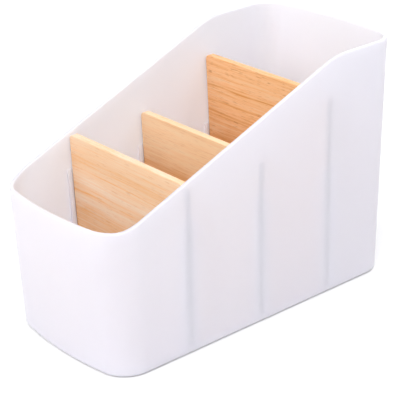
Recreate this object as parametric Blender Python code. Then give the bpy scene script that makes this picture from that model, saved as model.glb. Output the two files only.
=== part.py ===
"""Desk organiser: a white plastic tub with a sloping rim and three lift-out wooden dividers.

Metres, +Z up, +Y towards the tall back. The organiser stands on z = 0, on four round pads.
"""
import math

import bmesh
import bpy

# Tub, outside. Heights are counted from the underside of its base.
LENGTH = 0.2050            # front rim to back rim, at the middle of each bowed end
WIDTH = 0.1033             # across the side walls, at the back rim's height
TUB_HEIGHT = 0.1390        # base to back rim
FRONT_HEIGHT = 0.0815      # base to front rim
SLOPE_FROM_FRONT = 0.0124  # front rim to where the slope would start if its bend were sharp
SLOPE_FROM_BACK = 0.0498   # the same at the back rim
LOW_BEND = 0.0186          # radius of the rim's bend at the foot of the slope
HIGH_BEND = 0.0437         # radius of the rim's bend at the head of the slope
FRONT_BOW = 0.0055         # how far the middle of the front wall stands out
BACK_BOW = 0.0047
FRONT_CORNER = 0.0172      # corner radius of the front wall at the base
FRONT_CORNER_GAIN = 0.0032  # and what it gains on the way up to the front rim
BACK_CORNER = 0.0152
SIDE_DRAFT = math.tan(math.radians(1.3))
FRONT_DRAFT = math.tan(math.radians(2.1))
BACK_DRAFT = math.tan(math.radians(1.5))

# Tub, wall and edges.
WALL = 0.0022
FLOOR = 0.0025
RIM_ROUND = 0.0006
BASE_ROUND = 0.0008
FLOOR_FILLET = 0.0020

# Dividers, and the ribs that make a channel for each end of each of them.
DIVIDER_THICKNESS = 0.0042
DIVIDER_PITCH = 0.0493
MIDDLE_DIVIDER_Y = -0.0007
LOW_DIVIDER_TOP = 0.0960   # front and middle divider, above the base
HIGH_DIVIDER_TOP = 0.1177  # rear divider, above the base
DIVIDER_CORNER = 0.0028
DIVIDER_EDGE = 0.0005
RIB_TOP = 0.0760           # above the base
RIB_WIDTH = 0.0030
RIB_DEPTH_HIGH = 0.0008    # a rib gets deeper from its top down to the floor
RIB_DEPTH_LOW = 0.0023
RIB_LEAD_IN = 0.0040
RIB_LIP = 0.0003           # depth of a rib at its very top
CLEARANCE = 0.0003         # between a loose piece and what it sits in

# Pads under the base.
PAD_RADIUS = 0.0060
PAD_STAND = 0.0008         # how far a pad holds the base off the table
PAD_RECESS = 0.0010
PAD_FROM_SIDE = 0.0160     # pad centre to the side wall, at the base
PAD_FROM_END = 0.0200      # pad centre to the end of the base
PAD_EDGE = 0.0003

# Steps along curved stretches.
CORNER_STEPS = 8
BOW_STEPS = 5
SIDE_STEPS = 18
ROUND_STEPS = 2
FILLET_STEPS = 3
ARC_STEPS = 5
PAD_STEPS = 32

WHITE_PLASTIC = ("tub_plastic", (0.90, 0.89, 0.91), 0.42)
PALE_WOOD = ("pale_wood", (0.83, 0.56, 0.33), 0.55)
ORANGE_WOOD = ("orange_wood", (0.78, 0.43, 0.20), 0.55)
SOFT_RUBBER = ("pad_rubber", (0.62, 0.62, 0.62), 0.75)


# ---------------------------------------------------------------- helpers

def clear_scene():
    for thing in list(bpy.data.objects):
        bpy.data.objects.remove(thing, do_unlink=True)


def make_material(finish):
    name, colour, roughness = finish
    material = bpy.data.materials.get(name)
    if material is None:
        material = bpy.data.materials.new(name)
        material.use_nodes = True
        shader = material.node_tree.nodes["Principled BSDF"]
        shader.inputs["Base Color"].default_value = (*colour, 1.0)
        shader.inputs["Roughness"].default_value = roughness
        shader.inputs["Metallic"].default_value = 0.0
    return material


def make_object(name, mesh, finish=None, location=(0.0, 0.0, 0.0)):
    """Turn a bmesh into an object with its faces outward and its material in slot 0."""
    bmesh.ops.recalc_face_normals(mesh, faces=mesh.faces)
    data = bpy.data.meshes.new(name)
    mesh.to_mesh(data)
    mesh.free()
    thing = bpy.data.objects.new(name, data)
    thing.location = location
    bpy.context.collection.objects.link(thing)
    if finish is not None:
        data.materials.append(make_material(finish))
    return thing


def smooth(thing, degrees):
    """Shade smooth, with a crease wherever two faces meet at more than this angle."""
    thing.data.shade_smooth()
    thing.data.set_sharp_from_angle(angle=math.radians(degrees))


def combine(target, tool, operation):
    """Add or cut the tool with a Boolean, and keep the tool out of sight."""
    tool.hide_render = True
    tool.display_type = 'WIRE'
    modifier = target.modifiers.new(tool.name, 'BOOLEAN')
    modifier.operation = operation
    modifier.solver = 'EXACT'
    modifier.object = tool


def add_bevel(thing, width):
    modifier = thing.modifiers.new("edge", 'BEVEL')
    modifier.width = width
    modifier.segments = 2
    modifier.limit_method = 'ANGLE'
    modifier.angle_limit = math.radians(40)


def shares(steps):
    """Even shares from 0 up to, but without, 1."""
    return [step / steps for step in range(steps)]


def quarter_turn(steps):
    """Angles from 0 to a right angle, both included."""
    return [math.pi / 2 * step / steps for step in range(steps + 1)]


# ---------------------------------------------------------------- the tub's shape

def rim_height(y):
    """Height of the rim above the base at y: level, bend, slope, bend, level."""
    slope_start = -LENGTH / 2 + SLOPE_FROM_FRONT
    slope_end = LENGTH / 2 - SLOPE_FROM_BACK
    slope = (TUB_HEIGHT - FRONT_HEIGHT) / (slope_end - slope_start)
    angle = math.atan(slope)
    low_bend_start = slope_start - LOW_BEND * math.tan(angle / 2)
    low_bend_end = low_bend_start + LOW_BEND * math.sin(angle)
    high_bend_end = slope_end + HIGH_BEND * math.tan(angle / 2)
    high_bend_start = high_bend_end - HIGH_BEND * math.sin(angle)
    if y <= low_bend_start:
        return FRONT_HEIGHT
    if y < low_bend_end:
        return FRONT_HEIGHT + LOW_BEND - math.sqrt(LOW_BEND ** 2 - (y - low_bend_start) ** 2)
    if y < high_bend_start:
        return FRONT_HEIGHT + slope * (y - slope_start)
    if y < high_bend_end:
        return TUB_HEIGHT - HIGH_BEND + math.sqrt(HIGH_BEND ** 2 - (y - high_bend_end) ** 2)
    return TUB_HEIGHT


def wall_x(z, inset):
    """Distance from the middle plane to a side wall at height z, moved in by inset."""
    return WIDTH / 2 + (z - TUB_HEIGHT) * SIDE_DRAFT - inset


def end_arcs(end, z, inset):
    """The bow and the corner of one end (+1 back, -1 front), which meet without a kink.

    Returns the bow's centre and radius, the corner's centre and radius, and the angle from the
    X axis at which the corner runs into the bow.
    """
    half_width = wall_x(z, inset)
    if end > 0:
        tip = LENGTH / 2 + (z - TUB_HEIGHT) * BACK_DRAFT - inset
        corner = BACK_CORNER - inset
        bow = BACK_BOW
    else:
        tip = LENGTH / 2 + (z - FRONT_HEIGHT) * FRONT_DRAFT - inset
        corner = FRONT_CORNER + FRONT_CORNER_GAIN * z / FRONT_HEIGHT - inset
        bow = FRONT_BOW
    bow_radius = (half_width ** 2 + bow ** 2) / (2 * bow)
    bow_centre = tip - bow_radius
    corner_x = half_width - corner
    reach = math.sqrt((bow_radius - corner) ** 2 - corner_x ** 2)
    meeting = math.atan2(reach, corner_x)
    return bow_centre, bow_radius, corner_x, bow_centre + reach, corner, meeting


def outline_point(place, z, inset):
    """A point of the tub's plan outline, on its +X half, at height z and moved in by inset."""
    stretch, end, share = place
    if stretch == "side":
        front_y = -end_arcs(-1, z, inset)[3]
        back_y = end_arcs(1, z, inset)[3]
        return wall_x(z, inset), front_y + share * (back_y - front_y)
    bow_centre, bow_radius, corner_x, corner_y, corner, meeting = end_arcs(end, z, inset)
    if stretch == "corner":
        angle = share * meeting
        return corner_x + corner * math.cos(angle), end * (corner_y + corner * math.sin(angle))
    angle = meeting + share * (math.pi / 2 - meeting)
    return bow_radius * math.cos(angle), end * (bow_centre + bow_radius * math.sin(angle))


def outline_places():
    """Places once around the tub, as (side of the middle plane, place on the +X half)."""
    half = [("bow", -1, 1.0 - share) for share in shares(BOW_STEPS)]
    half += [("corner", -1, 1.0 - share) for share in shares(CORNER_STEPS)]
    half += [("side", 0, share) for share in shares(SIDE_STEPS)]
    half += [("corner", 1, share) for share in shares(CORNER_STEPS)]
    half += [("bow", 1, share) for share in shares(BOW_STEPS)]
    half.append(("bow", 1, 1.0))
    right = [(1, place) for place in half]
    left = [(-1, place) for place in reversed(half[1:-1])]
    return right + left


def level_ring(places, z, inset):
    ring = []
    for side, place in places:
        x, y = outline_point(place, z, inset)
        ring.append((side * x, y, z))
    return ring


def rim_point(side, place, below, inset):
    """The point of the outline that lies this far below the rim."""
    z = TUB_HEIGHT
    for _ in range(6):
        x, y = outline_point(place, z, inset)
        z = rim_height(y) - below
    return side * x, y, z


def rim_ring(places, below, inset):
    return [rim_point(side, place, below, inset) for side, place in places]


def tub_rings(places):
    """Rings from the underside, up the outside, over the rim and down to the floor inside."""
    rings = []
    for angle in quarter_turn(ROUND_STEPS):
        rise = BASE_ROUND * (1 - math.cos(angle))
        rings.append(level_ring(places, rise, BASE_ROUND * (1 - math.sin(angle))))
    for angle in quarter_turn(ROUND_STEPS):
        below = RIM_ROUND * (1 - math.sin(angle))
        rings.append(rim_ring(places, below, RIM_ROUND * (1 - math.cos(angle))))
    for angle in quarter_turn(ROUND_STEPS):
        below = RIM_ROUND * (1 - math.cos(angle))
        rings.append(rim_ring(places, below, WALL - RIM_ROUND * (1 - math.sin(angle))))
    for angle in quarter_turn(FILLET_STEPS):
        rise = FLOOR_FILLET * (1 - math.sin(angle))
        rings.append(level_ring(places, FLOOR + rise, WALL + FLOOR_FILLET * (1 - math.cos(angle))))
    return rings


def skin(rings):
    """Closed mesh through rings with the same number of points, capped at both ends."""
    mesh = bmesh.new()
    loops = [[mesh.verts.new(point) for point in ring] for ring in rings]
    count = len(loops[0])
    for low, high in zip(loops, loops[1:]):
        for index in range(count):
            after = (index + 1) % count
            mesh.faces.new((low[index], low[after], high[after], high[index]))
    mesh.faces.new(loops[0])
    mesh.faces.new(loops[-1])
    return mesh


def add_prism(mesh, outline, y_front, y_back):
    """Closed prism with its outline in the XZ plane, from y_front to y_back."""
    front = [mesh.verts.new((x, y_front, z)) for x, z in outline]
    back = [mesh.verts.new((x, y_back, z)) for x, z in outline]
    mesh.faces.new(front)
    mesh.faces.new(back)
    for index in range(len(outline)):
        after = (index + 1) % len(outline)
        mesh.faces.new((front[index], front[after], back[after], back[index]))


# ---------------------------------------------------------------- dividers and ribs

def divider_places():
    """Name, centre along Y, top above the base and finish of each divider."""
    return [
        ("divider_front", MIDDLE_DIVIDER_Y - DIVIDER_PITCH, LOW_DIVIDER_TOP, PALE_WOOD),
        ("divider_middle", MIDDLE_DIVIDER_Y, LOW_DIVIDER_TOP, PALE_WOOD),
        ("divider_rear", MIDDLE_DIVIDER_Y + DIVIDER_PITCH, HIGH_DIVIDER_TOP, ORANGE_WOOD),
    ]


def rib_depth(z):
    return RIB_DEPTH_LOW + (RIB_DEPTH_HIGH - RIB_DEPTH_LOW) * z / RIB_TOP


def rib_outline(side):
    """Side view of a rib: it starts inside the wall and the floor, and thins out at its top."""
    root = WALL / 2
    low = FLOOR / 2
    outline = [(side * wall_x(low, root), low), (side * wall_x(RIB_TOP, root), RIB_TOP)]
    for angle in quarter_turn(ARC_STEPS):
        z = RIB_TOP - RIB_LEAD_IN * (1 - math.cos(angle))
        depth = RIB_LIP + (rib_depth(z) - RIB_LIP) * math.sin(angle)
        outline.append((side * (wall_x(z, WALL) - depth), z))
    outline.append((side * (wall_x(low, WALL) - rib_depth(low)), low))
    return outline


def make_ribs():
    """A rib before and behind each end of each divider, all in one mesh."""
    mesh = bmesh.new()
    gap = DIVIDER_THICKNESS / 2 + CLEARANCE
    for _, centre, _, _ in divider_places():
        for side in (-1, 1):
            add_prism(mesh, rib_outline(side), centre - gap - RIB_WIDTH, centre - gap)
            add_prism(mesh, rib_outline(side), centre + gap, centre + gap + RIB_WIDTH)
    ribs = make_object("ribs", mesh)
    ribs.location.z = PAD_STAND
    return ribs


def divider_outline(top):
    """Half board, from the middle of its lower edge to the middle of its top edge."""
    bottom = FLOOR + CLEARANCE
    low_corner = FLOOR_FILLET + DIVIDER_CORNER
    outline = []
    for angle in quarter_turn(ARC_STEPS):
        z = bottom + low_corner * (1 - math.cos(angle))
        outline.append((wall_x(z, WALL + CLEARANCE) - low_corner * (1 - math.sin(angle)), z))
    for angle in quarter_turn(ARC_STEPS):
        z = top - DIVIDER_CORNER * (1 - math.sin(angle))
        outline.append((wall_x(z, WALL + CLEARANCE) - DIVIDER_CORNER * (1 - math.cos(angle)), z))
    return outline


def make_divider(name, centre, top, finish):
    """A board that follows the side walls; its origin is the middle of its lower edge."""
    bottom = FLOOR + CLEARANCE
    half = [(x, z - bottom) for x, z in divider_outline(top)]
    outline = half + [(-x, z) for x, z in reversed(half)]
    mesh = bmesh.new()
    add_prism(mesh, outline, -DIVIDER_THICKNESS / 2, DIVIDER_THICKNESS / 2)
    board = make_object(name, mesh, finish, (0.0, centre, PAD_STAND + bottom))
    add_bevel(board, DIVIDER_EDGE)
    smooth(board, 30)
    return board


# ---------------------------------------------------------------- pads

def pad_places():
    """Name and centre of each pad under the base."""
    x = wall_x(0.0, PAD_FROM_SIDE)
    front_y = -LENGTH / 2 + FRONT_HEIGHT * FRONT_DRAFT + PAD_FROM_END
    back_y = LENGTH / 2 - TUB_HEIGHT * BACK_DRAFT - PAD_FROM_END
    return [
        ("foot_pad_front_left", -x, front_y),
        ("foot_pad_front_right", x, front_y),
        ("foot_pad_rear_left", -x, back_y),
        ("foot_pad_rear_right", x, back_y),
    ]


def add_disc(mesh, x, y, z_low, z_high, radius):
    """Closed upright cylinder."""
    rings = []
    for z in (z_low, z_high):
        ring = []
        for share in shares(PAD_STEPS):
            angle = 2 * math.pi * share
            ring.append(mesh.verts.new((x + radius * math.cos(angle), y + radius * math.sin(angle), z)))
        rings.append(ring)
        mesh.faces.new(ring)
    for index in range(PAD_STEPS):
        after = (index + 1) % PAD_STEPS
        mesh.faces.new((rings[0][index], rings[0][after], rings[1][after], rings[1][index]))


def make_recesses():
    """Round recesses for the pads, as one cutter that reaches out of the base."""
    mesh = bmesh.new()
    for _, x, y in pad_places():
        add_disc(mesh, x, y, -PAD_RECESS, PAD_RECESS, PAD_RADIUS + CLEARANCE)
    recesses = make_object("recesses", mesh)
    recesses.location.z = PAD_STAND
    return recesses


def make_pad(name, x, y):
    mesh = bmesh.new()
    add_disc(mesh, 0.0, 0.0, 0.0, PAD_STAND + PAD_RECESS - CLEARANCE, PAD_RADIUS)
    pad = make_object(name, mesh, SOFT_RUBBER, (x, y, 0.0))
    add_bevel(pad, PAD_EDGE)
    smooth(pad, 30)
    return pad


# ---------------------------------------------------------------- assembly

def make_tub():
    tub = make_object("tub", skin(tub_rings(outline_places())), WHITE_PLASTIC)
    tub.location.z = PAD_STAND
    smooth(tub, 50)
    combine(tub, make_ribs(), 'UNION')
    combine(tub, make_recesses(), 'DIFFERENCE')
    return tub


def main():
    clear_scene()
    make_tub()
    for name, centre, top, finish in divider_places():
        make_divider(name, centre, top, finish)
    for name, x, y in pad_places():
        make_pad(name, x, y)


main()
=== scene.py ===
"""Looks of the desk tub with three lift-out boards: finer meshes, materials, light and camera.

Metres, +Z up. The tub's low front faces -Y and its tall back +Y.
"""
import math

import bmesh
import bpy
from mathutils import Matrix, Vector


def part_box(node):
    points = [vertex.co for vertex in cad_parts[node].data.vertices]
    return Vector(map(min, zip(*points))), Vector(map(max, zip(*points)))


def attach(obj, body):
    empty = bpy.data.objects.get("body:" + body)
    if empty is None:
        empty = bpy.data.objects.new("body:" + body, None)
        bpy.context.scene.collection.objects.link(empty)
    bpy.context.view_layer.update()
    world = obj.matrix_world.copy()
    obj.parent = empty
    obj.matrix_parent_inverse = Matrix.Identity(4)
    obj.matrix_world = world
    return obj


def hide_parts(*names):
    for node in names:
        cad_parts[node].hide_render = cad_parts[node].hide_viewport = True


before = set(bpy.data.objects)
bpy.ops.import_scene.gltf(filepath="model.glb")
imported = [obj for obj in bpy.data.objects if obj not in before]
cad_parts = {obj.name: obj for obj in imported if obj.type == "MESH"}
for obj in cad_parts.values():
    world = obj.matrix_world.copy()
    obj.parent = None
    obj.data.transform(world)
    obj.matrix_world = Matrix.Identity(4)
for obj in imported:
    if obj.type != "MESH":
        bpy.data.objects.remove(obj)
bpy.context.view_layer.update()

# ---------------------------------------------------------------- sizes of the tub
# The first block repeats the CAD's named sizes; the second reads the rest from the parts in
# model.glb.
FRONT_HEIGHT = 0.0815
SLOPE_FROM_FRONT = 0.0124
SLOPE_FROM_BACK = 0.0498
LOW_BEND = 0.0186
HIGH_BEND = 0.0437
FRONT_BOW = 0.0055
BACK_BOW = 0.0047
FRONT_CORNER = 0.0172
FRONT_CORNER_GAIN = 0.0032
BACK_CORNER = 0.0152
SIDE_DRAFT = math.tan(math.radians(1.3))
FRONT_DRAFT = math.tan(math.radians(2.1))
BACK_DRAFT = math.tan(math.radians(1.5))
WALL = 0.0022
FLOOR = 0.0025
RIM_ROUND = 0.0006
BASE_ROUND = 0.0008
FLOOR_FILLET = 0.0020
DIVIDER_CORNER = 0.0028
RIB_TOP = 0.0760
RIB_WIDTH = 0.0030
RIB_DEPTH_HIGH = 0.0008
RIB_DEPTH_LOW = 0.0023
RIB_LEAD_IN = 0.0040
RIB_LIP = 0.0003
CLEARANCE = 0.0003
PAD_RECESS = 0.0010

TUB_LOW, TUB_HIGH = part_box("tub")
PAD_STAND = TUB_LOW[2]
TUB_HEIGHT = TUB_HIGH[2] - TUB_LOW[2]
WIDTH = TUB_HIGH[0] - TUB_LOW[0] + 2 * RIM_ROUND * SIDE_DRAFT
LENGTH = TUB_HIGH[1] - TUB_LOW[1] + RIM_ROUND * (FRONT_DRAFT + BACK_DRAFT)

DIVIDERS = ("divider_front", "divider_middle", "divider_rear")
PADS = ("foot_pad_front_left", "foot_pad_front_right", "foot_pad_rear_left", "foot_pad_rear_right")
BOX = {node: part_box(node) for node in DIVIDERS + PADS}

# Finish details that only the looks need.
RIB_EDGE = 0.00035         # rounding along the edges of a rib
SINK_DEPTH = 0.00010       # how far the outside sinks in opposite a board's channel
SINK_HALF_WIDTH = 0.0018
SINK_FADE = 0.006          # height over which a sink mark fades out below a board's top
BOARD_EDGE = 0.0004
PAD_EDGE = 0.0004
PAD_GROOVE_RADIUS = 0.0040  # the ring groove in a pad's underside
PAD_GROOVE_HALF_WIDTH = 0.0006
PAD_GROOVE_DEPTH = 0.00025
PAD_CAP_RADIUS = 0.0012    # flat disc in the middle of a pad's two faces

# Steps along curved stretches.
CORNER_STEPS = 20
BOW_STEPS = 12
SIDE_STEPS = 110
ROUND_STEPS = 5
FILLET_STEPS = 6
ARC_STEPS = 10
PAD_STEPS = 64
PAD_EDGE_STEPS = 4
GROOVE_STEPS = 8
EDGE_SEGMENTS = {"rib": 3, "board": 4}

# Rows up a wall, with one more row close to each end to keep the rounds apart from the flat.
WALL_ROWS = 10
WALL_END_SHARE = 0.01
RIM_PASSES = 5             # rounds of moving a point to where the rim's height and place agree

# Angles in degrees.
BEVEL_ANGLE = 40           # edges sharper than this are rounded
TUB_SMOOTH_ANGLE = 50
BOARD_SMOOTH_ANGLE = 30
PAD_SMOOTH_ANGLE = 35


# ---------------------------------------------------------------- mesh helpers

def shares(steps):
    """Even shares from 0 up to, but without, 1."""
    return [step / steps for step in range(steps)]


def quarter_turn(steps):
    """Angles from 0 to a right angle, both included."""
    return [math.pi / 2 * step / steps for step in range(steps + 1)]


def link_mesh(name, mesh):
    """Turn a bmesh into an object in the scene, with its faces outward."""
    bmesh.ops.recalc_face_normals(mesh, faces=mesh.faces)
    data = bpy.data.meshes.new(name)
    mesh.to_mesh(data)
    mesh.free()
    thing = bpy.data.objects.new(name, data)
    bpy.context.scene.collection.objects.link(thing)
    return thing


def smooth(thing, degrees):
    thing.data.shade_smooth()
    thing.data.set_sharp_from_angle(angle=math.radians(degrees))


def settle(thing):
    """Put what the modifiers make into the object's own mesh."""
    graph = bpy.context.evaluated_depsgraph_get()
    finished = bpy.data.meshes.new_from_object(thing.evaluated_get(graph))
    thing.modifiers.clear()
    thing.data = finished


def combine(target, tool, operation):
    modifier = target.modifiers.new(tool.name, 'BOOLEAN')
    modifier.operation = operation
    modifier.solver = 'EXACT'
    modifier.object = tool
    settle(target)
    bpy.data.objects.remove(tool, do_unlink=True)


def round_edges(thing, width, segments):
    modifier = thing.modifiers.new("edge", 'BEVEL')
    modifier.width = width
    modifier.segments = segments
    modifier.limit_method = 'ANGLE'
    modifier.angle_limit = math.radians(BEVEL_ANGLE)
    settle(thing)


def even_normals(thing):
    """Keep flat faces flat beside small rounded edges."""
    modifier = thing.modifiers.new("normals", 'WEIGHTED_NORMAL')
    modifier.keep_sharp = True
    modifier.weight = 80


def loft(rings):
    """Closed mesh through rings with the same number of points, capped at both ends."""
    mesh = bmesh.new()
    loops = [[mesh.verts.new(point) for point in ring] for ring in rings]
    count = len(loops[0])
    for low, high in zip(loops, loops[1:]):
        for index in range(count):
            after = (index + 1) % count
            mesh.faces.new((low[index], low[after], high[after], high[index]))
    mesh.faces.new(loops[0])
    mesh.faces.new(loops[-1])
    return mesh


def add_prism(mesh, outline, y_front, y_back):
    """Closed prism with its outline in the XZ plane, from y_front to y_back."""
    front = [mesh.verts.new((x, y_front, z)) for x, z in outline]
    back = [mesh.verts.new((x, y_back, z)) for x, z in outline]
    mesh.faces.new(front)
    mesh.faces.new(back)
    for index in range(len(outline)):
        after = (index + 1) % len(outline)
        mesh.faces.new((front[index], front[after], back[after], back[index]))


def middle(node):
    low, high = BOX[node]
    return (Vector(low) + Vector(high)) / 2


# ---------------------------------------------------------------- the tub's shape
# Heights in these functions are counted from the underside of the base, as in the CAD.

def rim_height(y):
    """Height of the rim at y: level, bend, slope, bend, level."""
    slope_start = -LENGTH / 2 + SLOPE_FROM_FRONT
    slope_end = LENGTH / 2 - SLOPE_FROM_BACK
    slope = (TUB_HEIGHT - FRONT_HEIGHT) / (slope_end - slope_start)
    angle = math.atan(slope)
    low_bend_start = slope_start - LOW_BEND * math.tan(angle / 2)
    low_bend_end = low_bend_start + LOW_BEND * math.sin(angle)
    high_bend_end = slope_end + HIGH_BEND * math.tan(angle / 2)
    high_bend_start = high_bend_end - HIGH_BEND * math.sin(angle)
    if y <= low_bend_start:
        return FRONT_HEIGHT
    if y < low_bend_end:
        return FRONT_HEIGHT + LOW_BEND - math.sqrt(LOW_BEND ** 2 - (y - low_bend_start) ** 2)
    if y < high_bend_start:
        return FRONT_HEIGHT + slope * (y - slope_start)
    if y < high_bend_end:
        return TUB_HEIGHT - HIGH_BEND + math.sqrt(HIGH_BEND ** 2 - (y - high_bend_end) ** 2)
    return TUB_HEIGHT


def wall_x(z, inset):
    """Distance from the middle plane to a side wall at height z, moved in by inset."""
    return WIDTH / 2 + (z - TUB_HEIGHT) * SIDE_DRAFT - inset


def end_arcs(end, z, inset):
    """The bow and the corner of one end (+1 back, -1 front), which meet without a kink."""
    half_width = wall_x(z, inset)
    if end > 0:
        tip = LENGTH / 2 + (z - TUB_HEIGHT) * BACK_DRAFT - inset
        corner = BACK_CORNER - inset
        bow = BACK_BOW
    else:
        tip = LENGTH / 2 + (z - FRONT_HEIGHT) * FRONT_DRAFT - inset
        corner = FRONT_CORNER + FRONT_CORNER_GAIN * z / FRONT_HEIGHT - inset
        bow = FRONT_BOW
    bow_radius = (half_width ** 2 + bow ** 2) / (2 * bow)
    bow_centre = tip - bow_radius
    corner_x = half_width - corner
    reach = math.sqrt((bow_radius - corner) ** 2 - corner_x ** 2)
    meeting = math.atan2(reach, corner_x)
    return bow_centre, bow_radius, corner_x, bow_centre + reach, corner, meeting


def outline_point(place, z, inset):
    """A point of the tub's plan outline, on its +X half, at height z and moved in by inset."""
    stretch, end, share = place
    if stretch == "side":
        front_y = -end_arcs(-1, z, inset)[3]
        back_y = end_arcs(1, z, inset)[3]
        return wall_x(z, inset), front_y + share * (back_y - front_y)
    bow_centre, bow_radius, corner_x, corner_y, corner, meeting = end_arcs(end, z, inset)
    if stretch == "corner":
        angle = share * meeting
        return corner_x + corner * math.cos(angle), end * (corner_y + corner * math.sin(angle))
    angle = meeting + share * (math.pi / 2 - meeting)
    return bow_radius * math.cos(angle), end * (bow_centre + bow_radius * math.sin(angle))


def outline_places():
    """Places once around the tub, as (side of the middle plane, place on the +X half)."""
    half = [("bow", -1, 1.0 - share) for share in shares(BOW_STEPS)]
    half += [("corner", -1, 1.0 - share) for share in shares(CORNER_STEPS)]
    half += [("side", 0, share) for share in shares(SIDE_STEPS)]
    half += [("corner", 1, share) for share in shares(CORNER_STEPS)]
    half += [("bow", 1, share) for share in shares(BOW_STEPS)]
    half.append(("bow", 1, 1.0))
    right = [(1, place) for place in half]
    left = [(-1, place) for place in reversed(half[1:-1])]
    return right + left


def level_ring(places, z, inset):
    ring = []
    for side, place in places:
        x, y = outline_point(place, z, inset)
        ring.append((side * x, y, z + PAD_STAND))
    return ring


def rim_point(place, below, inset):
    """The point of the outline that lies this far below the rim."""
    z = TUB_HEIGHT
    for _ in range(RIM_PASSES):
        x, y = outline_point(place, z, inset)
        z = rim_height(y) - below
    return x, y, z


def rim_ring(places, below, inset):
    ring = []
    for side, place in places:
        x, y, z = rim_point(place, below, inset)
        ring.append((side * x, y, z + PAD_STAND))
    return ring


def sink_in(place, y, z):
    """How far the outside of a side wall lies in, opposite the channel of each board."""
    if place[0] != "side":
        return 0.0
    total = 0.0
    for node in DIVIDERS:
        low, high = BOX[node]
        away = (y - (low[1] + high[1]) / 2) / SINK_HALF_WIDTH
        above = max(z + PAD_STAND - high[2] + SINK_FADE, 0.0) / SINK_FADE
        total += SINK_DEPTH * math.exp(-away * away) * max(1.0 - above, 0.0)
    return total


def wall_ring(places, share, inset, low_z):
    """A ring on the wall, this share of the way from low_z up to the start of the rim's round."""
    ring = []
    for side, place in places:
        top = rim_point(place, RIM_ROUND, inset)[2]
        z = low_z + share * (top - low_z)
        x, y = outline_point(place, z, inset)
        if inset == 0.0:
            x -= sink_in(place, y, z)
        ring.append((side * x, y, z + PAD_STAND))
    return ring


def wall_shares():
    """Shares of the wall's height, closer together at its two ends."""
    even = [row / WALL_ROWS for row in range(1, WALL_ROWS)]
    return [WALL_END_SHARE] + even + [1 - WALL_END_SHARE]


def tub_rings(places):
    """Rings from the underside, up the outside, over the rim and down to the floor inside."""
    rings = []
    for angle in quarter_turn(ROUND_STEPS):
        rise = BASE_ROUND * (1 - math.cos(angle))
        rings.append(level_ring(places, rise, BASE_ROUND * (1 - math.sin(angle))))
    for share in wall_shares():
        rings.append(wall_ring(places, share, 0.0, BASE_ROUND))
    for angle in quarter_turn(ROUND_STEPS):
        below = RIM_ROUND * (1 - math.sin(angle))
        rings.append(rim_ring(places, below, RIM_ROUND * (1 - math.cos(angle))))
    for angle in quarter_turn(ROUND_STEPS):
        below = RIM_ROUND * (1 - math.cos(angle))
        rings.append(rim_ring(places, below, WALL - RIM_ROUND * (1 - math.sin(angle))))
    for share in reversed(wall_shares()):
        rings.append(wall_ring(places, share, WALL, FLOOR + FLOOR_FILLET))
    for angle in quarter_turn(FILLET_STEPS):
        rise = FLOOR_FILLET * (1 - math.sin(angle))
        rings.append(level_ring(places, FLOOR + rise, WALL + FLOOR_FILLET * (1 - math.cos(angle))))
    return rings


def rib_depth(z):
    """How far a rib stands off the wall: it gets deeper towards the base."""
    return RIB_DEPTH_LOW + (RIB_DEPTH_HIGH - RIB_DEPTH_LOW) * z / RIB_TOP


def rib_outline(side):
    """Side view of a rib: it starts inside the wall and the floor, and thins out at its top."""
    root = WALL / 2
    low = FLOOR / 2
    outline = [(side * wall_x(low, root), low), (side * wall_x(RIB_TOP, root), RIB_TOP)]
    for angle in quarter_turn(ARC_STEPS):
        z = RIB_TOP - RIB_LEAD_IN * (1 - math.cos(angle))
        depth = RIB_LIP + (rib_depth(z) - RIB_LIP) * math.sin(angle)
        outline.append((side * (wall_x(z, WALL) - depth), z))
    outline.append((side * (wall_x(low, WALL) - rib_depth(low)), low))
    return [(x, z + PAD_STAND) for x, z in outline]


def make_ribs():
    mesh = bmesh.new()
    for node in DIVIDERS:
        low, high = BOX[node]
        for side in (-1, 1):
            front = low[1] - CLEARANCE
            back = high[1] + CLEARANCE
            add_prism(mesh, rib_outline(side), front - RIB_WIDTH, front)
            add_prism(mesh, rib_outline(side), back, back + RIB_WIDTH)
    ribs = link_mesh("ribs", mesh)
    round_edges(ribs, RIB_EDGE, EDGE_SEGMENTS["rib"])
    return ribs


def turned(profile, centre, steps):
    """Closed body of revolution about the vertical through centre; profile runs low to high."""
    rings = []
    for radius, z in profile:
        ring = []
        for share in shares(steps):
            angle = 2 * math.pi * share
            x = centre.x + radius * math.cos(angle)
            y = centre.y + radius * math.sin(angle)
            ring.append((x, y, z))
        rings.append(ring)
    return loft(rings)


def make_recess(node):
    """Cutter for the recess that a pad sits in."""
    low, high = BOX[node]
    radius = (high[0] - low[0]) / 2 + CLEARANCE
    profile = [(radius, PAD_STAND - PAD_RECESS), (radius, PAD_STAND + PAD_RECESS)]
    return link_mesh("recess", turned(profile, middle(node), PAD_STEPS))


def make_tub():
    tub = link_mesh("tub_shell", loft(tub_rings(outline_places())))
    combine(tub, make_ribs(), 'UNION')
    for node in PADS:
        combine(tub, make_recess(node), 'DIFFERENCE')
    smooth(tub, TUB_SMOOTH_ANGLE)
    even_normals(tub)
    return tub


# ---------------------------------------------------------------- boards and pads

def board_outline(low_z, high_z):
    """Half board in the XZ plane, from its lower edge to its top edge, heights from the base."""
    low_corner = FLOOR_FILLET + DIVIDER_CORNER
    outline = []
    for angle in quarter_turn(ARC_STEPS):
        z = low_z + low_corner * (1 - math.cos(angle))
        outline.append((wall_x(z, WALL + CLEARANCE) - low_corner * (1 - math.sin(angle)), z))
    for angle in quarter_turn(ARC_STEPS):
        z = high_z - DIVIDER_CORNER * (1 - math.sin(angle))
        outline.append((wall_x(z, WALL + CLEARANCE) - DIVIDER_CORNER * (1 - math.cos(angle)), z))
    return [(x, z + PAD_STAND) for x, z in outline]


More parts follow.
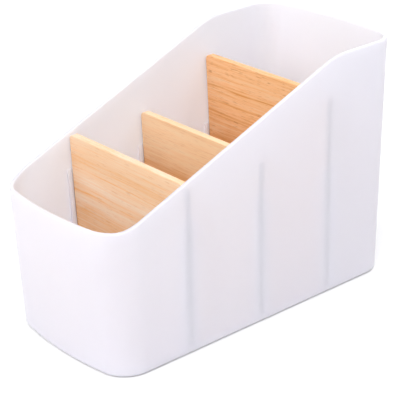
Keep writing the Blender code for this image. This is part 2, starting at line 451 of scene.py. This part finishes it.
def make_board(node):
    low, high = BOX[node]
    half = board_outline(low[2] - PAD_STAND, high[2] - PAD_STAND)
    outline = half + [(-x, z) for x, z in reversed(half)]
    mesh = bmesh.new()
    add_prism(mesh, outline, low[1], high[1])
    board = link_mesh(node.replace("divider", "board"), mesh)
    round_edges(board, BOARD_EDGE, EDGE_SEGMENTS["board"])
    smooth(board, BOARD_SMOOTH_ANGLE)
    even_normals(board)
    return board


def pad_profile(node):
    """Half section of a pad: a ring groove in its underside, and rounded edges."""
    low, high = BOX[node]
    radius = (high[0] - low[0]) / 2
    groove = []
    for step in range(GROOVE_STEPS + 1):
        angle = math.pi * step / GROOVE_STEPS
        across = PAD_GROOVE_RADIUS - PAD_GROOVE_HALF_WIDTH * math.cos(angle)
        groove.append((across, PAD_GROOVE_DEPTH * math.sin(angle)))
    lower = []
    for angle in quarter_turn(PAD_EDGE_STEPS):
        lower.append((radius - PAD_EDGE * (1 - math.sin(angle)), PAD_EDGE * (1 - math.cos(angle))))
    upper = []
    for angle in quarter_turn(PAD_EDGE_STEPS):
        z = high[2] - PAD_EDGE * (1 - math.sin(angle))
        upper.append((radius - PAD_EDGE * (1 - math.cos(angle)), z))
    return [(PAD_CAP_RADIUS, 0.0)] + groove + lower + upper + [(PAD_CAP_RADIUS, high[2])]


def make_pad(node):
    body = turned(pad_profile(node), middle(node), PAD_STEPS)
    pad = link_mesh(node.replace("foot_pad", "pad"), body)
    smooth(pad, PAD_SMOOTH_ANGLE)
    return pad


# ---------------------------------------------------------------- shader helpers

def new_material(name):
    """Make a material with a Principled shader; returns the material, its tree and the shader."""
    material = bpy.data.materials.new(name)
    material.use_nodes = True
    tree = material.node_tree
    return material, tree, tree.nodes["Principled BSDF"]


def feed(tree, socket, value):
    """Link a socket to another node's output, or set it to a plain value."""
    if isinstance(value, bpy.types.NodeSocket):
        tree.links.new(value, socket)
    else:
        socket.default_value = value


def calc(tree, operation, *values, clamp=False):
    node = tree.nodes.new("ShaderNodeMath")
    node.operation = operation
    node.use_clamp = clamp
    for socket, value in zip(node.inputs, values):
        feed(tree, socket, value)
    return node.outputs[0]


def vector_calc(tree, operation, *values):
    node = tree.nodes.new("ShaderNodeVectorMath")
    node.operation = operation
    for socket, value in zip(node.inputs, values):
        feed(tree, socket, value)
    return node.outputs[0]


def object_coordinates(tree):
    return tree.nodes.new("ShaderNodeTexCoord").outputs["Object"]


def parts_of(tree, vector):
    node = tree.nodes.new("ShaderNodeSeparateXYZ")
    feed(tree, node.inputs[0], vector)
    return node.outputs[0], node.outputs[1], node.outputs[2]


def noise(tree, vector, scale, detail=2.0, roughness=0.5, distortion=0.0):
    node = tree.nodes.new("ShaderNodeTexNoise")
    feed(tree, node.inputs["Vector"], vector)
    node.inputs["Scale"].default_value = scale
    node.inputs["Detail"].default_value = detail
    node.inputs["Roughness"].default_value = roughness
    node.inputs["Distortion"].default_value = distortion
    return node.outputs[0]


def grain_noise(tree, place, stretch, detail=2.0, roughness=0.5):
    """Noise with its own scale along each of the three axes."""
    stretched = vector_calc(tree, 'MULTIPLY', place, stretch)
    return noise(tree, stretched, 1.0, detail, roughness)


def noise_along(tree, value, scale, detail=2.0, roughness=0.5):
    """Noise that changes only with one number."""
    node = tree.nodes.new("ShaderNodeTexNoise")
    node.noise_dimensions = '1D'
    feed(tree, node.inputs["W"], value)
    node.inputs["Scale"].default_value = scale
    node.inputs["Detail"].default_value = detail
    node.inputs["Roughness"].default_value = roughness
    return node.outputs[0]


def spread(tree, value, from_low, from_high, to_low=0.0, to_high=1.0, smooth_step=False):
    node = tree.nodes.new("ShaderNodeMapRange")
    if smooth_step:
        node.interpolation_type = 'SMOOTHSTEP'
    for name, number in (("Value", value), ("From Min", from_low), ("From Max", from_high),
                         ("To Min", to_low), ("To Max", to_high)):
        feed(tree, node.inputs[name], number)
    return node.outputs[0]


def blend_colours(tree, share, first, second, mode='MIX'):
    node = tree.nodes.new("ShaderNodeMix")
    node.data_type = 'RGBA'
    node.blend_type = mode
    feed(tree, node.inputs["Factor"], share)
    feed(tree, node.inputs["A"], first)
    feed(tree, node.inputs["B"], second)
    return node.outputs["Result"]


def colour_ramp(tree, value, stops):
    node = tree.nodes.new("ShaderNodeValToRGB")
    feed(tree, node.inputs[0], value)
    ramp = node.color_ramp
    while len(ramp.elements) < len(stops):
        ramp.elements.new(0.5)
    for element, (position, colour) in zip(ramp.elements, stops):
        element.position = position
        element.color = (*colour, 1.0)
    return node.outputs[0]


def bump(tree, height, distance, strength, before=None):
    node = tree.nodes.new("ShaderNodeBump")
    feed(tree, node.inputs["Height"], height)
    node.inputs["Distance"].default_value = distance
    node.inputs["Strength"].default_value = strength
    if before is not None:
        feed(tree, node.inputs["Normal"], before)
    return node.outputs[0]


# ---------------------------------------------------------------- materials

MOTTLE_TONES = ((0.866, 0.852, 0.970), (0.876, 0.862, 0.980))
OUTER_PAINTED_SHADE = (0.862, 0.862, 0.846, 1.0)   # painted shade: the outer faces made darker than the inner ones, as a share of the mottle's
OUTWARD_FULL = 0.02                       # metres along the normal at which a face counts as outer
LIGHT_REACH = 0.0085                      # how far light spreads inside the plastic
LIGHT_REACH_SHARES = (0.90, 0.93, 0.90)


def facing_out(tree, coordinates):
    """1 on the faces that look away from the tub's middle axis, 0 on those that look at it."""
    position = parts_of(tree, coordinates)
    normal = parts_of(tree, tree.nodes.new("ShaderNodeTexCoord").outputs["Normal"])
    along_x = calc(tree, 'MULTIPLY', position[0], normal[0])
    along_y = calc(tree, 'MULTIPLY', position[1], normal[1])
    return spread(tree, calc(tree, 'ADD', along_x, along_y), 0.0, OUTWARD_FULL)


def tub_plastic():
    """White moulded plastic: satin, faintly mottled, and light passes its thin walls. Its outer
    faces get painted shade, a darker copy of the same colour.
    """
    material, tree, shader = new_material("tub_white_plastic")
    coordinates = object_coordinates(tree)
    mottle = noise(tree, coordinates, 34.0, 3.0, 0.55)
    colour = colour_ramp(tree, mottle, [(0.25, MOTTLE_TONES[0]), (0.75, MOTTLE_TONES[1])])
    # Painted shade: the outer faces are multiplied darker than the inner faces of the same
    # plastic.
    outside = facing_out(tree, coordinates)
    colour = blend_colours(tree, outside, colour, OUTER_PAINTED_SHADE, 'MULTIPLY')
    feed(tree, shader.inputs["Base Color"], colour)
    patch = noise(tree, coordinates, 90.0, 3.0)
    feed(tree, shader.inputs["Roughness"], spread(tree, patch, 0.2, 0.8, 0.36, 0.48))
    grain = noise(tree, coordinates, 2600.0, 3.0, 0.6)
    waves = noise(tree, coordinates, 60.0, 1.0)
    first = bump(tree, waves, 0.0004, 0.12)
    feed(tree, shader.inputs["Normal"], bump(tree, grain, 0.00004, 0.35, first))
    shader.inputs["IOR"].default_value = 1.49
    shader.inputs["Subsurface Weight"].default_value = 1.0
    shader.inputs["Subsurface Radius"].default_value = LIGHT_REACH_SHARES
    shader.inputs["Subsurface Scale"].default_value = LIGHT_REACH
    return material


# Tones run dark, plain, light. Bands, lines, fibres and pores say how strong each of them is. Each
# board also lists bands across it: a band's height above the desk, its half height, and how much
# it lightens (+) or darkens (-) the tone. Most are bands of the grain; the wide dark band low on
# each board is painted shade, and the light band at the top edge of the front and middle boards is
# a painted highlight.
WOODS = {
    "divider_front": {
        "seed": 3.1, "tones": ((0.97, 0.49, 0.15), (1.00, 0.67, 0.395), (1.00, 0.77, 0.54)),
        "bands": 0.35, "lines": 0.40, "fibres": 0.50, "pores": 0.30,
        # Painted: the wide dark band at 0.0530 is painted shade, the band at the top edge (0.0968)
        # a painted highlight.
        "grain_and_painted_light_bands": ((0.0708, 0.0036, 0.16), (0.0644, 0.0007, -0.30), (0.0776, 0.0005, -0.16),
                     (0.0600, 0.0022, 0.10), (0.0530, 0.0075, -0.15), (0.0968, 0.0014, 0.20)),
    },
    "divider_middle": {
        "seed": 7.7, "tones": ((0.84, 0.43, 0.16), (1.00, 0.69, 0.395), (1.00, 0.78, 0.51)),
        "bands": 0.25, "lines": 0.28, "fibres": 0.45, "pores": 0.22,
        # Painted: the wide dark band at 0.0620 is painted shade, the band at the top edge (0.0968)
        # a painted highlight.
        "grain_and_painted_light_bands": ((0.0905, 0.0040, 0.05), (0.0800, 0.0050, 0.06), (0.0620, 0.0140, -0.24),
                     (0.0968, 0.0014, 0.16)),
    },
    "divider_rear": {
        "seed": 12.4, "tones": ((0.80, 0.34, 0.08), (1.00, 0.57, 0.265), (1.00, 0.67, 0.38)),
        "bands": 0.30, "lines": 0.50, "fibres": 0.70, "pores": 0.55,
        # Painted: the wide dark band at 0.0690 is painted shade.
        "grain_and_painted_light_bands": ((0.1045, 0.0030, 0.14), (0.1005, 0.0006, -0.26), (0.0915, 0.0010, -0.12),
                     (0.0850, 0.0016, -0.08), (0.0690, 0.0110, -0.15)),
    },
}


WARP_SCALES = (11.0, 14.0, 16.0)          # noise scales along X, Y and Z, per metre
FIBRE_SCALES = (34.0, 1300.0, 1300.0)
BREAK_SCALES = (38.0, 60.0, 90.0)
THIN_PORE_SCALES = (150.0, 2300.0, 2300.0)
THICK_PORE_SCALES = (170.0, 1150.0, 1150.0)
PORE_GROUP_SCALES = (30.0, 140.0, 140.0)
WARP_HEIGHT = 0.008                       # how far the growth rings wander up and down, in metres
RING_TILT = 0.6                           # how much the rings rise through a board's thickness
MIDDLE_TONE = 0.5
# Name, scale, detail and roughness of the tone's one-way ripples.
RIPPLES = (("bands", 75.0, 2.0, 0.5), ("lines", 700.0, 4.0, 0.7))
PORE_SHADE = (0.70, 0.60, 0.55)           # a pore's colour, as a share of the dark tone


def band_of_grain_and_painted_light(tree, height, centre, half_height, change, broken):
    """One band across a board, a little uneven along its length: grain bands, and also the bands
    of painted shade and painted highlight.
    """
    away = calc(tree, 'ABSOLUTE', calc(tree, 'SUBTRACT', height, centre))
    inside = spread(tree, away, half_height, half_height * 0.3, smooth_step=True)
    return calc(tree, 'MULTIPLY', calc(tree, 'MULTIPLY', inside, broken), change)


def wood_tone(tree, place, look):
    """One number for the wood's tone: growth bands, fine lines and fibres, all along X, plus each
    board's listed bands, among them painted shade and a painted highlight.
    """
    y, z = parts_of(tree, place)[1:]
    warp = calc(tree, 'SUBTRACT', grain_noise(tree, place, WARP_SCALES), 0.5)
    height = calc(tree, 'ADD', z, calc(tree, 'MULTIPLY', warp, WARP_HEIGHT))
    across = calc(tree, 'ADD', height, calc(tree, 'MULTIPLY', y, RING_TILT))
    across = calc(tree, 'ADD', across, look["seed"])
    tone = MIDDLE_TONE
    for key, scale, detail, roughness in RIPPLES:
        ripple = calc(tree, 'SUBTRACT', noise_along(tree, across, scale, detail, roughness), 0.5)
        tone = calc(tree, 'ADD', tone, calc(tree, 'MULTIPLY', ripple, look[key]))
    fibres = grain_noise(tree, place, FIBRE_SCALES, 3.0, 0.6)
    fibre_tone = calc(tree, 'MULTIPLY', calc(tree, 'SUBTRACT', fibres, 0.5), look["fibres"])
    tone = calc(tree, 'ADD', tone, fibre_tone)
    broken = spread(tree, grain_noise(tree, place, BREAK_SCALES), 0.34, 0.54)
    # The listed bands: grain, plus painted shade low on each board and a painted highlight at the
    # top edge of the front and middle boards.
    for centre, half_height, change in look["grain_and_painted_light_bands"]:
        feature = band_of_grain_and_painted_light(tree, height, centre, half_height, change, broken)
        tone = calc(tree, 'ADD', tone, feature)
    return tone, fibres


def wood_pores(tree, place):
    """Short dark dashes along X, gathered in loose groups."""
    thin = grain_noise(tree, place, THIN_PORE_SCALES, 1.0, 0.4)
    thick = grain_noise(tree, place, THICK_PORE_SCALES, 1.0, 0.4)
    groups = grain_noise(tree, place, PORE_GROUP_SCALES)
    few = calc(tree, 'MULTIPLY', spread(tree, thick, 0.66, 0.74), spread(tree, groups, 0.44, 0.60))
    return calc(tree, 'MAXIMUM', spread(tree, thin, 0.62, 0.72), few)


def wood(node):
    """Board wood with its grain along X under a thin, satin clear finish; its colour also holds
    bands of painted shade and painted highlight.
    """
    look = WOODS[node]
    dark, plain, light = look["tones"]
    material, tree, shader = new_material(node + "_wood")
    place = object_coordinates(tree)
    tone, fibres = wood_tone(tree, place, look)
    colour = colour_ramp(tree, tone, [(0.22, dark), (0.50, plain), (0.74, light)])
    pore = calc(tree, 'MULTIPLY', wood_pores(tree, place), look["pores"])
    pore_tone = (*(tone_part * share for tone_part, share in zip(dark, PORE_SHADE)), 1.0)
    feed(tree, shader.inputs["Base Color"], blend_colours(tree, pore, colour, pore_tone))
    feed(tree, shader.inputs["Roughness"], spread(tree, fibres, 0.3, 0.7, 0.62, 0.48))
    relief = calc(tree, 'SUBTRACT', calc(tree, 'MULTIPLY', fibres, 0.5), pore)
    feed(tree, shader.inputs["Normal"], bump(tree, relief, 0.00012, 0.5))
    shader.inputs["IOR"].default_value = 1.45
    return material


def pad_rubber():
    """Soft grey rubber, slightly mottled."""
    material, tree, shader = new_material("pad_grey_rubber")
    coordinates = object_coordinates(tree)
    cloud = noise(tree, coordinates, 500.0, 3.0)
    colour = colour_ramp(tree, cloud, [(0.3, (0.50, 0.50, 0.50)), (0.7, (0.60, 0.60, 0.59))])
    feed(tree, shader.inputs["Base Color"], colour)
    feed(tree, shader.inputs["Roughness"], spread(tree, cloud, 0.2, 0.8, 0.62, 0.80))
    grain = noise(tree, coordinates, 6000.0, 2.0)
    feed(tree, shader.inputs["Normal"], bump(tree, grain, 0.00005, 0.4))
    return material


def floor_paint():
    material, _, shader = new_material("studio_floor")
    shader.inputs["Base Color"].default_value = (1.0, 0.995, 0.955, 1.0)
    shader.inputs["Roughness"].default_value = 0.9
    shader.inputs["Specular IOR Level"].default_value = 0.1
    return material


# ---------------------------------------------------------------- pieces on their bodies

# The body that each board rides on, and its material slot in the record.
BOARDS = {
    "divider_front": ("front_board", "pale_wood"),
    "divider_middle": ("middle_board", "pale_wood"),
    "divider_rear": ("rear_board", "orange_wood"),
}


def place_piece(piece, body, node, material):
    piece.data.materials.clear()
    piece.data.materials.append(material)
    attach(piece, body)
    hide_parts(node)


def make_pieces():
    place_piece(make_tub(), "tub_on_pads", "tub", tub_plastic())
    for node, (body, slot) in BOARDS.items():
        place_piece(make_board(node), body, node, wood(node))
    rubber = pad_rubber()
    for node in PADS:
        place_piece(make_pad(node), "tub_on_pads", node, rubber)


# ---------------------------------------------------------------- floor, light and camera

FLOOR_SIZE = 12.0
LOOK_AT = Vector((0.0, 0.0, 0.0608))
AZIMUTH = math.radians(50.71)
ELEVATION = math.radians(24.22)
ROLL = math.radians(-2.11)
DISTANCE = 0.7933
FIELD = 2 * math.atan(0.5 / 3.6025)   # picture width over focal length
AIM = Vector((0.0011, 0.0037))        # where LOOK_AT lies, in metres right and up of the centre
CLIP_START = 0.01

LIGHT_TINT = (0.950, 0.955, 1.0)
SKY_STRENGTH = 0.35
# Name, place, width in metres and power in watts of each soft light; all of them face LOOK_AT.
LIGHTS = (
    ("front_low", (0.0, -2.44, 0.95), 1.1, 13.3),
    ("front_left", (-1.25, -1.25, 1.96), 1.3, 11.0),
    ("front_right", (1.25, -1.25, 1.96), 1.3, 32.0),
    ("back_right", (1.25, 1.25, 1.96), 1.3, 14.9),
    ("back_left", (-1.22, 2.12, 0.95), 1.1, 22.0),
    ("overhead", (0.0, 0.0, 2.30), 1.2, 9.0),
)


def make_floor():
    mesh = bmesh.new()
    bmesh.ops.create_grid(mesh, x_segments=1, y_segments=1, size=FLOOR_SIZE / 2)
    floor = link_mesh("floor", mesh)
    floor.data.materials.append(floor_paint())


def area_light(name, place, size, power):
    light = bpy.data.lights.new(name, 'AREA')
    light.shape = 'SQUARE'
    light.size = size
    light.energy = power
    light.color = LIGHT_TINT
    lamp = bpy.data.objects.new(name, light)
    lamp.location = place
    lamp.rotation_euler = (LOOK_AT - Vector(place)).to_track_quat('-Z', 'Y').to_euler()
    bpy.context.scene.collection.objects.link(lamp)


def make_lights():
    for name, place, size, power in LIGHTS:
        area_light(name, place, size, power)
    world = bpy.data.worlds.new("studio")
    world.use_nodes = True
    backdrop = world.node_tree.nodes["Background"]
    backdrop.inputs["Color"].default_value = (*LIGHT_TINT, 1.0)
    backdrop.inputs["Strength"].default_value = SKY_STRENGTH
    bpy.context.scene.world = world


def make_camera():
    level = math.cos(ELEVATION)
    back = Vector((math.sin(AZIMUTH) * level, -math.cos(AZIMUTH) * level, math.sin(ELEVATION)))
    right = Vector((math.cos(AZIMUTH), math.sin(AZIMUTH), 0.0))
    up = back.cross(right)
    data = bpy.data.cameras.new("camera")
    data.angle = FIELD
    data.clip_start = CLIP_START
    camera = bpy.data.objects.new("camera", data)
    tilted_right = right * math.cos(ROLL) + up * math.sin(ROLL)
    tilted_up = up * math.cos(ROLL) - right * math.sin(ROLL)
    turn = Matrix((tilted_right, tilted_up, back)).transposed().to_4x4()
    stand = LOOK_AT + back * DISTANCE - right * AIM.x - up * AIM.y
    camera.matrix_world = Matrix.Translation(stand) @ turn
    bpy.context.scene.collection.objects.link(camera)
    bpy.context.scene.camera = camera


make_pieces()
make_floor()
make_lights()
make_camera()
bpy.context.scene.view_settings.view_transform = 'Standard'
